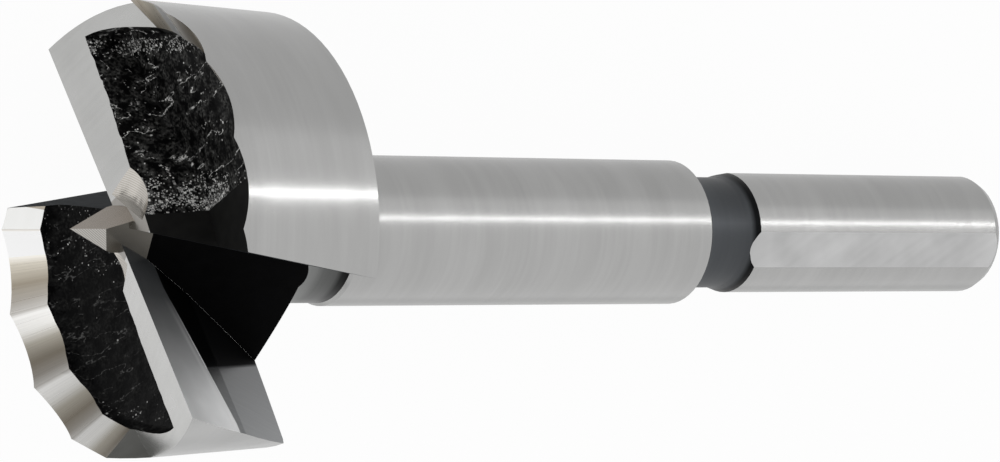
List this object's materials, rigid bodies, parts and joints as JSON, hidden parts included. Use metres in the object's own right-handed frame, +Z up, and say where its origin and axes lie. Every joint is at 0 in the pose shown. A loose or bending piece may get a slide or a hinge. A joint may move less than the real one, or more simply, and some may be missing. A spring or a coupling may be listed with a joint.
{
  "type": "forstner_bit",
  "caption": "Forstner bit with a round shank and a cylindrical head with a wave-toothed rim, lifters, V gullets and a centre point, for boring clean flat-bottomed holes in wood.",
  "frame": {"origin": "middle of the shank, on the axis of the bit", "axes": "+Z up, +X along the bit toward its centre point, as it lies at rest with the axis dipping 8 degrees toward the shank end, +Y to the left seen from the shank"},
  "size_m": [0.0901, 0.035, 0.0335],
  "materials": {
    "tool_steel": "ground bright on the rim, lands, rake faces, neck and shank, forged black in the hollows and gullets"
  },
  "bodies": {
    "root": {"forstner_bit": "tool_steel"}
  },
  "joints": []
}
